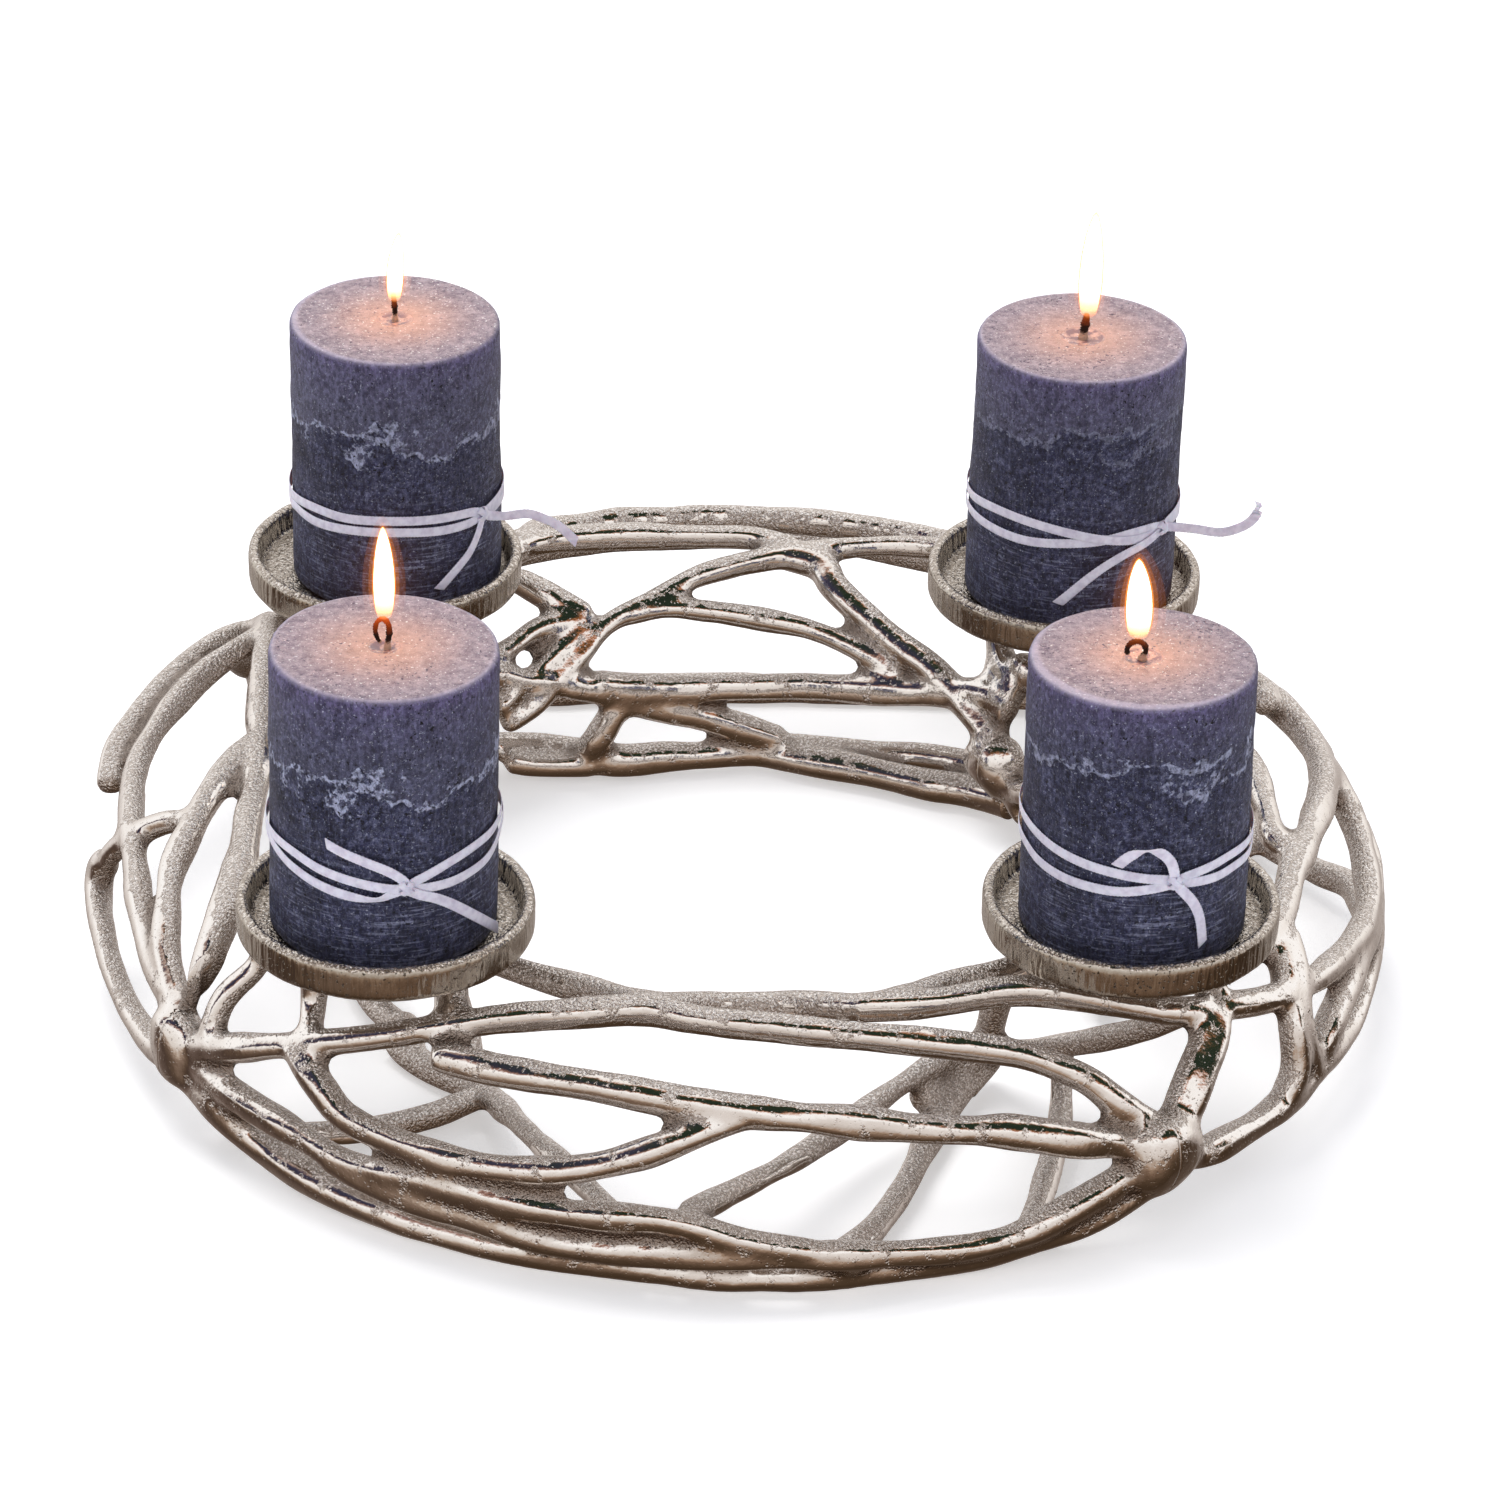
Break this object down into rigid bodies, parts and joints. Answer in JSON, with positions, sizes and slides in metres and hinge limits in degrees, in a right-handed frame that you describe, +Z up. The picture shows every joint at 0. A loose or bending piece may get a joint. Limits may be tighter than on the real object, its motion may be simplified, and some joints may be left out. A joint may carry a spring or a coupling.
{
  "type": "metal advent wreath",
  "caption": "Round table wreath of interwoven cast metal branches carrying rimmed candle dishes with lit pillar candles tied with narrow satin ribbon.",
  "frame": {"origin": "on the surface that the wreath stands on, at the middle of the ring", "axes": "+Z up, -Y towards the front that the picture shows, +X to the right"},
  "size_m": [0.425, 0.4261, 0.2162],
  "materials": {
    "cast_metal": "sand-cast grain in the hollows, polished on the outward faces, warm nickel tone",
    "wax": "rustic mottled slate blue wax",
    "wick": "charred braided cotton",
    "ribbon": "narrow double-faced satin with a picot edge",
    "flame": "glowing, stands in for a candle flame"
  },
  "bodies": {
    "root": {"ring_section_front": "cast_metal", "ring_section_right": "cast_metal", "ring_section_back": "cast_metal", "ring_section_left": "cast_metal", "candle_dish_front_left": "cast_metal", "candle_dish_front_right": "cast_metal", "candle_dish_back_left": "cast_metal", "candle_dish_back_right": "cast_metal", "candle_front_left": "wax", "candle_front_right": "wax", "candle_back_left": "wax", "candle_back_right": "wax", "wick_front_left": "wick", "wick_front_right": "wick", "wick_back_left": "wick", "wick_back_right": "wick", "ribbon_front_left": "ribbon", "ribbon_front_right": "ribbon", "ribbon_back_left": "ribbon", "ribbon_back_right": "ribbon", "flame_front_left": "flame", "flame_front_right": "flame", "flame_back_left": "flame", "flame_back_right": "flame"}
  },
  "joints": []
}
